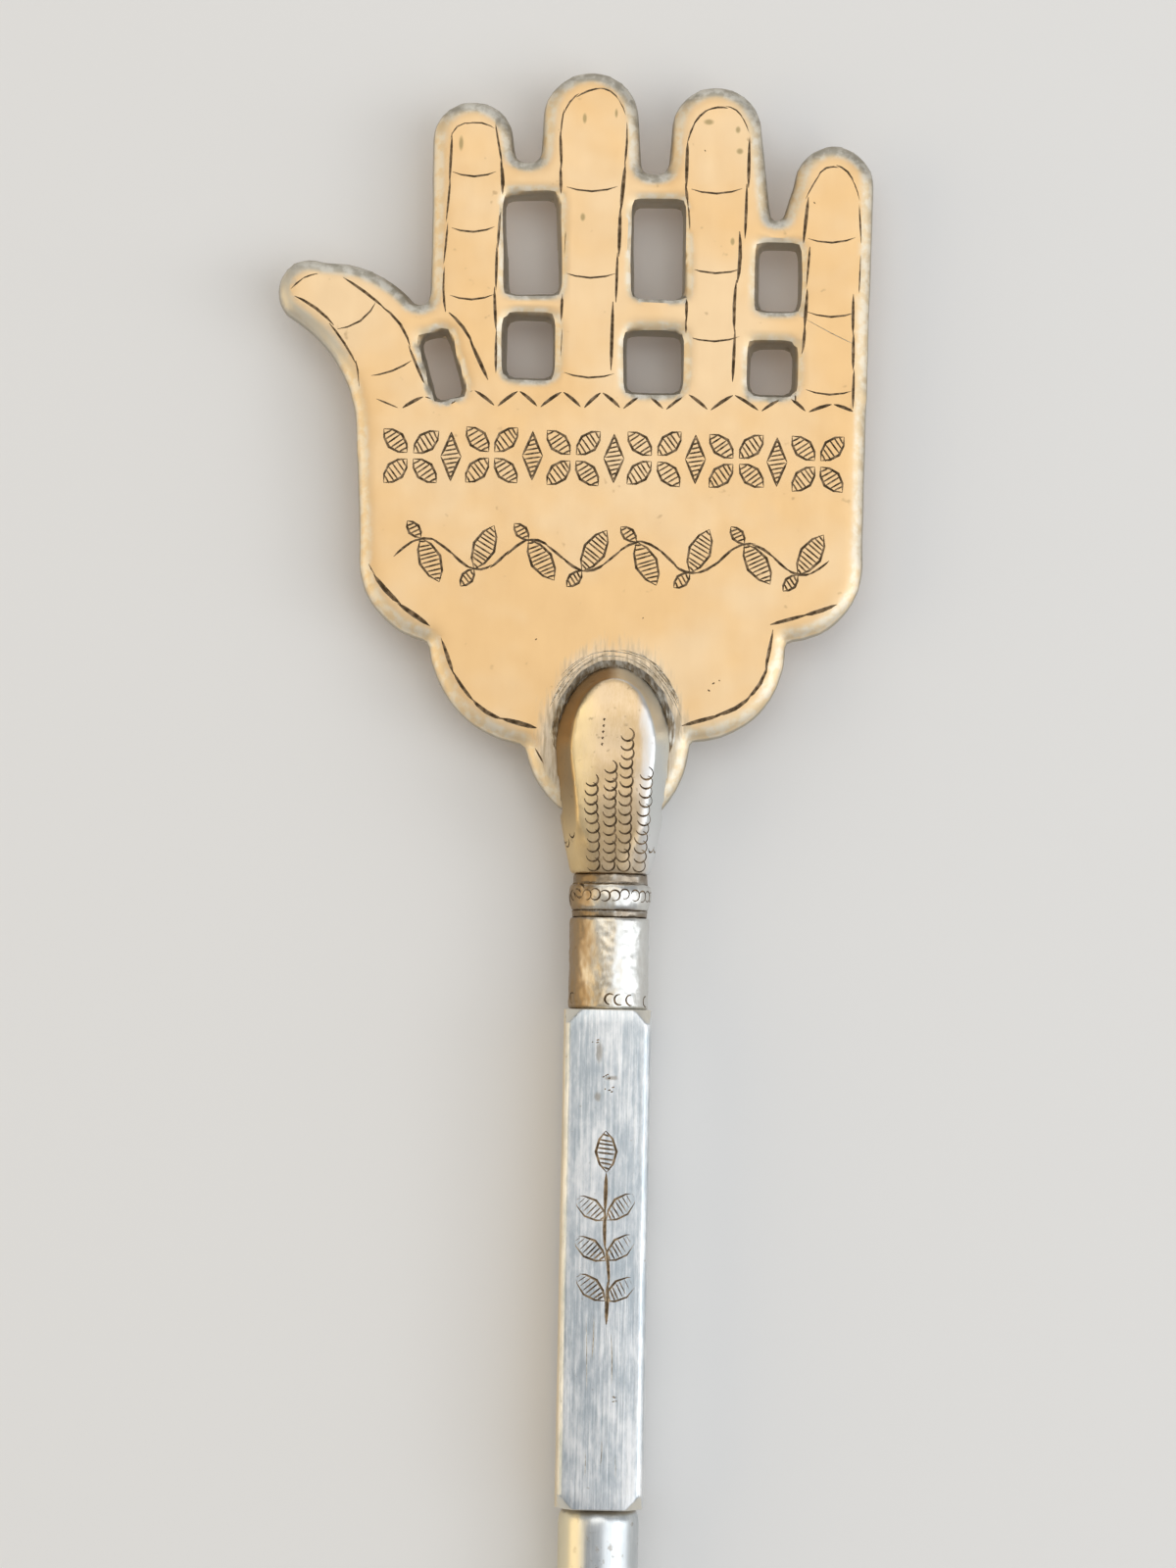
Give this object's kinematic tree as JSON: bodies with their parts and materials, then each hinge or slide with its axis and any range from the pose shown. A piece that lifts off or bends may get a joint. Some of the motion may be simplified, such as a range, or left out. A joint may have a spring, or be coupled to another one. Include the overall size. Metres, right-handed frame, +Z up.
{
  "type": "torah reading pointer",
  "caption": "Silver reading pointer with a flat open hand, pierced between the fingers and soldered in a slotted socket, on a shaft of square and round sections with a loose hanging ring.",
  "frame": {"origin": "middle of the flat underside of the faceted knop, on the surface that the pointer lies on", "axes": "+Y along the shaft towards the fingertips, +Z up, out of the front of the hand, thumb at -X"},
  "size_m": [0.041, 0.1944, 0.0072],
  "materials": {
    "engraved_silver": "warm toned hand-finished sheet silver, engraved on the front",
    "filed_silver": "filed silver with fine marks along its length",
    "turned_silver": "turned silver, worn to a soft polish",
    "silver_solder": "grey silver solder, scraped",
    "core_silver": "plain drawn wire"
  },
  "bodies": {
    "pointer": {"core_rod": "core_silver", "end_cap": "turned_silver", "end_collar": "turned_silver", "faceted_knop": "filed_silver", "grip_collar": "turned_silver", "grip_rod": "turned_silver", "hand_plate": "engraved_silver", "hand_socket": "filed_silver", "hanging_eye": "turned_silver", "neck_ferrule": "turned_silver", "neck_ring": "turned_silver", "socket_solder": "silver_solder", "square_bar": "filed_silver"},
    "ring": {"hanging_ring": "turned_silver"}
  },
  "joints": [
    {"name": "ring_swing", "type": "hinge", "parent": "pointer", "child": "ring", "pos_m": [0, -0.0135, 0.0036], "axis": [-1, 0, 0], "range_deg": [-140, 168]}
  ]
}
